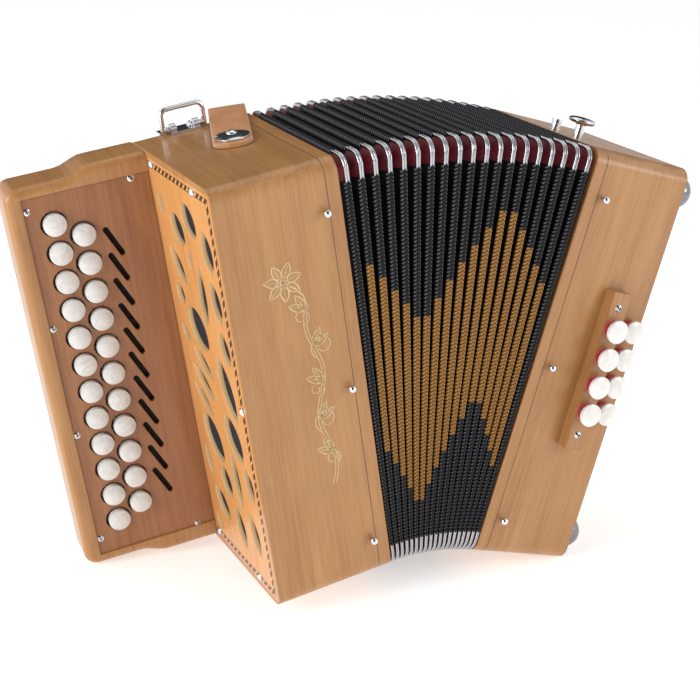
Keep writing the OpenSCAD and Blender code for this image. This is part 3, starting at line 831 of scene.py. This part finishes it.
# ---- grille, inlay and ornament ----
def box_tube(build, low, high):
    """A box between two corners as a tube along its longest side."""
    (x0, y0, z0), (x1, y1, z1) = low, high
    rings = [[(x0, y0, z), (x1, y0, z), (x1, y1, z), (x0, y1, z)] for z in (z0, z1)]
    if y1 - y0 > z1 - z0:
        rings = [[(x0, y, z0), (x1, y, z0), (x1, y, z1), (x0, y, z1)] for y in (y0, y1)]
    build.tube(rings)


def make_inlay(material):
    """Rope pattern along three borders of the grille, a hair proud of it."""
    build = Build()
    half, proud = INLAY_HALF, -0.07
    front, foot, top = INLAY_EDGE + 0.4, INLAY_EDGE, HEIGHT - INLAY_EDGE
    for z in (foot, top):
        rings = [[(proud, y, z - half), (0.4, y, z - half), (0.4, y, z + half), (proud, y, z + half)]
                 for y in (front + half, GRILLE_DEPTH - 1)]
        build.tube(rings, uvs=[(r[0][1], v) for r in rings for v in (-1, -1, 1, 1)])
    rings = [[(proud, front - half, z), (0.4, front - half, z), (0.4, front + half, z),
              (proud, front + half, z)] for z in (foot - half, top + half)]
    build.tube(rings, uvs=[(r[0][2], v) for r in rings for v in (-1, -1, 1, 1)])
    made = build.make("grille_inlay", TREBLE, [material], smooth=False)
    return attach(made, "treble")


def make_air_button(material):
    """Thumb button with a thick rounded rim, on its stem."""
    build = Build()
    turned(build, [(0.05, -22), (3.15, -22), (3.15, 8.4), (3.9, 8.9), (6.6, 9.2), (8.3, 10.0),
                   (8.8, 11.0), (8.5, 11.9), (7.3, 12.7), (4.6, 13.3), (0.05, 13.5)])
    turned(build, [(3.1, -22), (5, -22), (5, -19), (3.1, -19)])
    made = build.make("air_button_turned", BASS @ Matrix.Translation(AIR_PLACE), [material])
    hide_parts("air_button")
    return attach(made, "air_button")


def make_backing(material):
    """Cloth stretched behind the grille's openings."""
    build = Build()
    box_tube(build, (3.05, 6.3, 6.3), (3.4, GRILLE_DEPTH - 3.3, HEIGHT - 6.3))
    made = build.make("grille_cloth", TREBLE, [material], smooth=False)
    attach(made, "treble")


def make_lining(material):
    """Black felt strip behind the slots of the fingerboard's panel."""
    build = Build()
    box_tube(build, (-36.5, 4.1, 18), (-20.5, 4.6, HEIGHT - 18))
    made = build.make("slot_lining", BOARD, [material], smooth=False)
    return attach(made, "treble")


def ribbon(build, line, width=0.55):
    """A low line of inlay along (x, z) points of the treble casing's front."""
    rings = []
    for i, (x, z) in enumerate(line):
        (x0, z0), (x1, z1) = line[max(0, i - 1)], line[min(len(line) - 1, i + 1)]
        length = math.hypot(x1 - x0, z1 - z0) or 1
        ax, az = (z1 - z0) / length * width, (x0 - x1) / length * width
        section = [(-1, 0.1), (-1, -0.06), (-0.5, -0.13), (0.5, -0.13), (1, -0.06), (1, 0.1)]
        rings.append([(x + ax * side, y, z + az * side) for side, y in section])
    build.tube(rings)


def curl(x, z, heading, side, radius, turns=1.35):
    """A spiral tendril that leaves (x, z) on that heading and winds to that side."""
    line = [(x, z)]
    steps = 46
    for i in range(steps):
        share = i / steps
        size = radius * (1 - 0.8 * share)
        move = size * turns * math.tau / steps
        heading += side * turns * math.tau / steps
        x, z = x + move * math.cos(heading), z + move * math.sin(heading)
        line.append((x, z))
    return line


def leaf_outline(x, z, heading, length, breadth):
    """A pointed leaf from (x, z), as a closed line, and its vein."""
    ahead, aside = (math.cos(heading), math.sin(heading)), (-math.sin(heading), math.cos(heading))
    line = []
    for side in (1, -1):
        spots = np.linspace(0, 1, 11)
        for s in spots if side == 1 else spots[::-1][1:]:
            wide = side * breadth / 2 * math.sin(math.pi * s ** 0.8)
            line.append((x + s * length * ahead[0] + wide * aside[0],
                         z + s * length * ahead[1] + wide * aside[1]))
    vein = [(x + s * length * ahead[0], z + s * length * ahead[1]) for s in np.linspace(0.12, 0.8, 6)]
    return line, vein


def make_ornament(material):
    """A climbing vine with a flower at its head, in fine pale lines."""
    build = Build()

    def stem(z):
        return 47 + 3.4 * math.sin((z - 72) / 60 * math.tau)

    for offset in (-0.95, 0.95):
        ribbon(build, [(stem(z) + offset, z) for z in np.linspace(72, 190, 80)], 0.32)
    for i, z in enumerate(np.linspace(84, 178, 5)):
        side = -1 if i % 2 else 1
        heading = math.radians(90 - side * 70)
        radius = 8.2 if side < 0 else 5.4
        ribbon(build, curl(stem(z), z, heading, side, radius), 0.34)
        for turn in (28, 64):
            outline, vein = leaf_outline(stem(z + 9), z + 9, math.radians(90 + side * turn), 12, 4.6)
            ribbon(build, outline, 0.4)
            ribbon(build, vein, 0.3)
    centre = (34.0, 207.0)
    ribbon(build, [(stem(190), 190), (45, 196), (41, 201), (37.5, 204)], 0.42)
    for i in range(7):
        heading = math.radians(14 + i * 360 / 7)
        x, z = centre[0] + 2.6 * math.cos(heading), centre[1] + 2.6 * math.sin(heading)
        outline, vein = leaf_outline(x, z, heading, 9.5, 5.2)
        ribbon(build, outline, 0.42)
        ribbon(build, vein, 0.28)
    ribbon(build, [(centre[0] + 1.7 * math.cos(a), centre[1] + 1.7 * math.sin(a))
                   for a in np.linspace(0, math.tau, 22)], 0.4)
    made = build.make("front_ornament", TREBLE, [material])
    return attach(made, "treble")


def make_crosses(material):
    """Cross slots of the fingerboard's and the plinth's screws, near-black as painted shade."""
    board, bass = Build(), Build()
    for u, z in BOARD_SCREWS:
        for wide, tall in ((1.15, 0.27), (0.27, 1.15)):
            box_tube(board, (-u - wide, 0.17, z - tall), (-u + wide, 0.6, z + tall))
    for z in PLINTH_SCREW_Z:
        for wide, tall in ((1.3, 0.3), (0.3, 1.3)):
            box_tube(bass, (PLINTH_SCREW_X - wide, PLINTH_FACE, z - tall),
                     (PLINTH_SCREW_X + wide, PLINTH_FACE + 0.56, z + tall))
    for build, name, matrix, body in ((board, "board_screw_slots", BOARD, "treble"),
                                      (bass, "plinth_screw_slots", BASS, "bass")):
        made = build.make(name, matrix, [material], smooth=False)
        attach(made, body)


# ---- making it ----
chrome = metal("chrome", tone(222, 223, 228), 0.14, TREBLE)
bass_chrome = metal("bass_chrome", tone(222, 223, 228), 0.14, BASS)
rim_wood = wood("fingerboard_wood", BOARD, *HONEY)
strap_leather = leather("strap_leather", tone(214, 158, 112), tone(188, 130, 86), STRAP)
hand_leather = leather("hand_strap_leather", tone(206, 150, 104), tone(176, 120, 78), BASS)
cut_leather = felt("leather_edge", tone(226, 180, 136), tone(190, 140, 98))
black_card = cloth("bellows_cloth", tone(20, 19, 21), tone(8, 8, 9), 1.3, 0.0001, 0.7)
gusset = leather("gusset_leather", tone(132, 12, 38), tone(80, 6, 24))
# Braid tones: ridge, groove as painted shade, glint as painted highlight.
black_braid = braid("black_tape", tone(24, 24, 26), tone(11, 11, 12), tone(92, 92, 98), 0.5)
gold_braid = braid("gold_tape", tone(153, 109, 54), tone(106, 71, 33), tone(184, 139, 74), 0.5)
thread = felt("linen_thread", tone(232, 214, 182), tone(190, 168, 132))

case_wood = wood("treble_wood", TREBLE, *HONEY, seam=TREBLE_WIDTH - FRAME_WIDTH)
bass_wood = wood("bass_wood", BASS, *HONEY, seam=FRAME_WIDTH)
# The grille's cut tone is partly painted light on its sawn walls.
fret_wood = wood("fret_wood", TREBLE, tone(222, 162, 98), tone(212, 149, 85), tone(192, 130, 70),
                 cut=tone(252, 214, 158))
panel_wood = wood("panel_wood", BOARD, *SHADED_RED)
# The casing's honey tones a little darker: painted shade on the plinth.
plinth_shaded_wood = wood("plinth_shaded_wood", BASS, tone(184, 135, 82), tone(170, 120, 70), tone(150, 101, 56))
spruce = wood("inner_wood", TREBLE, tone(222, 190, 146), tone(206, 172, 126), tone(186, 150, 104),
              gloss=0)
pearl = plastic("pearl", tone(226, 225, 222), tone(211, 209, 205), 0.16, 0.08)
white = plastic("white_button", tone(242, 240, 236), tone(228, 223, 216), 0.12)
red_felt = felt("red_felt", tone(226, 16, 34), tone(164, 8, 22))
zinc = metal("zinc", tone(160, 162, 166), 0.4, TREBLE)
dark_metal = metal("dark_metal", tone(132, 132, 136), 0.14, BASS)
# Painted shade: near-black for the inside of the screws' cross slots.
slot_shade = metal("screw_slot", tone(28, 26, 25), 0.5, TREBLE)

FINISHES = {
    "treble_case": case_wood, "treble_frame": case_wood, "grille": fret_wood,
    "fingerboard_box": rim_wood, "fingerboard_panel": panel_wood, "treble_screws": chrome,
    "treble_soundboard": spruce, "treble_reed_blocks": spruce, "treble_reed_plates": zinc,
    "key_axle": chrome, "strap_bracket": chrome, "strap_loop": chrome, "strap_rivet": chrome,
    "treble_pins": chrome, "bellows": black_card, "bellows_corners": chrome,
    "bass_frame": bass_wood, "bass_case": bass_wood, "bass_soundboard": spruce,
    "bass_reed_blocks": spruce, "bass_plinth": plinth_shaded_wood, "bass_feet": dark_metal,
    "press_stud": bass_chrome, "bass_pins": bass_chrome, "bass_bushings": red_felt,
    "air_button": bass_chrome, "bellows_strap": strap_leather, "bellows_strap_end": strap_leather,
    "hand_strap": hand_leather,
}
for name, node in NODES.items():
    finish = FINISHES.get(name, pearl if name.startswith("melody_key") else white)
    node.data.materials.clear()
    node.data.materials.append(finish)

pleats = make_pleats([black_card, gusset])
tapes = make_tapes([black_braid, gold_braid])
caps = make_corners([metal("cap_metal", tone(188, 188, 191), 0.2, wear=0.3)])
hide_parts("bellows")
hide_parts("bellows_corners")
make_fingerboard(rim_wood)
make_bellows_strap([strap_leather, cut_leather])
make_eyelet(chrome)
make_air_button(bass_chrome)
make_hand_strap([hand_leather, cut_leather], thread)
make_inlay(rope_inlay())
make_backing(cloth("grille_cloth", tone(44, 46, 58), tone(24, 25, 34), 1.1, 0.0001))
make_ornament(wood("pale_line", TREBLE, tone(240, 212, 164), tone(228, 196, 144), tone(206, 168, 116)))
make_crosses(slot_shade)
make_lining(felt("black_felt", tone(16, 15, 15), tone(7, 7, 7)))


# ---- stage, light and camera ----
def make_floor():
    """A wide, almost white floor, lit a little from within so that its far part stays white."""
    paint = Paint("floor", Roughness=0.9, Emission_Color=(1, 1, 1, 1), Emission_Strength=0.5)
    spots = paint.noise(paint.place(), 0.01, 3)
    paint.set("Base Color", paint.ramp(spots, (0.3, tone(248, 248, 248)), (0.7, tone(252, 252, 252))))
    half, below = 8, -0.0005
    corners = [(-half, -half, below), (half, -half, below), (half, half, below), (-half, half, below)]
    made = piece("floor", corners, [(0, 1, 2, 3)], Matrix.Identity(4), [paint.material])


def make_light(name, position, target, size, power):
    data = bpy.data.lights.new(name, "AREA")
    data.shape, data.size, data.energy = "DISK", size, power
    made = bpy.data.objects.new(name, data)
    bpy.context.scene.collection.objects.link(made)
    made.location = position
    made.rotation_euler = (Vector(target) - Vector(position)).to_track_quat("-Z", "Y").to_euler()


make_floor()
centre = (0, 0, 0.14)
make_light("key", (0.85, -0.95, 0.55), centre, 0.55, 3.6)
make_light("left", (-1.3, -0.3, 0.5), centre, 0.8, 10)
make_light("top", (0.1, 0.35, 1.4), centre, 1.1, 3.4)


def make_world(toward_camera, behind_part, aside):
    """White surroundings, brighter to both sides, and dark toward the camera and low behind the part."""
    world = bpy.data.worlds.new("studio")
    world.use_nodes = True
    nodes, links = world.node_tree.nodes, world.node_tree.links

    def ramp_towards(axis, *stops):
        along = nodes.new("ShaderNodeVectorMath")
        along.operation = "DOT_PRODUCT"
        links.new(direction, along.inputs[0])
        along.inputs[1].default_value = axis
        ramp = nodes.new("ShaderNodeValToRGB")
        links.new(along.outputs["Value"], ramp.inputs[0])
        while len(ramp.color_ramp.elements) < len(stops):
            ramp.color_ramp.elements.new(0.5)
        for element, (position, grey) in zip(ramp.color_ramp.elements, stops):
            element.position, element.color = position, (grey, grey, grey, 1)
        return ramp.outputs[0]

    direction = nodes.new("ShaderNodeTexCoord").outputs["Generated"]
    dark = ramp_towards(toward_camera, (0.5, 1.0), (0.8, 0.12))
    behind = ramp_towards(behind_part, (0.5, 1.0), (0.75, 0.12))
    sides = [ramp_towards(axis, (0.3, 0.0), (0.7, 0.8)) for axis in (aside, -aside)]
    both = nodes.new("ShaderNodeVectorMath")
    both.operation = "MULTIPLY"
    links.new(dark, both.inputs[0])
    links.new(behind, both.inputs[1])
    bright = nodes.new("ShaderNodeVectorMath")
    links.new(sides[0], bright.inputs[0])
    links.new(sides[1], bright.inputs[1])
    scaled = nodes.new("ShaderNodeVectorMath")
    scaled.operation = "MULTIPLY_ADD"
    links.new(both.outputs[0], scaled.inputs[0])
    scaled.inputs[1].default_value = (0.34, 0.34, 0.34)
    links.new(bright.outputs[0], scaled.inputs[2])
    links.new(scaled.outputs[0], nodes["Background"].inputs["Color"])
    return world


scene = bpy.context.scene
scene.view_settings.view_transform = "Standard"

lens = bpy.data.cameras.new("camera")
lens.sensor_width = 36
lens.lens = 80.17
lens.clip_start, lens.clip_end = 0.05, 20
camera = bpy.data.objects.new("camera", lens)
scene.collection.objects.link(camera)
turn = TREBLE.to_3x3().normalized()
view_right, view_up, view_ahead = (turn @ Vector(v) for v in (
    (0.89016, -0.43763, -0.12685), (0.28783, 0.32427, 0.90111), (0.35322, 0.83864, -0.41462)))
look = Matrix((view_right, view_up, -view_ahead)).transposed().to_4x4()
camera.matrix_world = Matrix.Translation(TREBLE @ Vector((-253.298, -764.825, 532.043))) @ look
scene.camera = camera
low_behind = Vector((view_ahead.x, view_ahead.y, 0.4)).normalized()
scene.world = make_world(-view_ahead, low_behind, view_right)
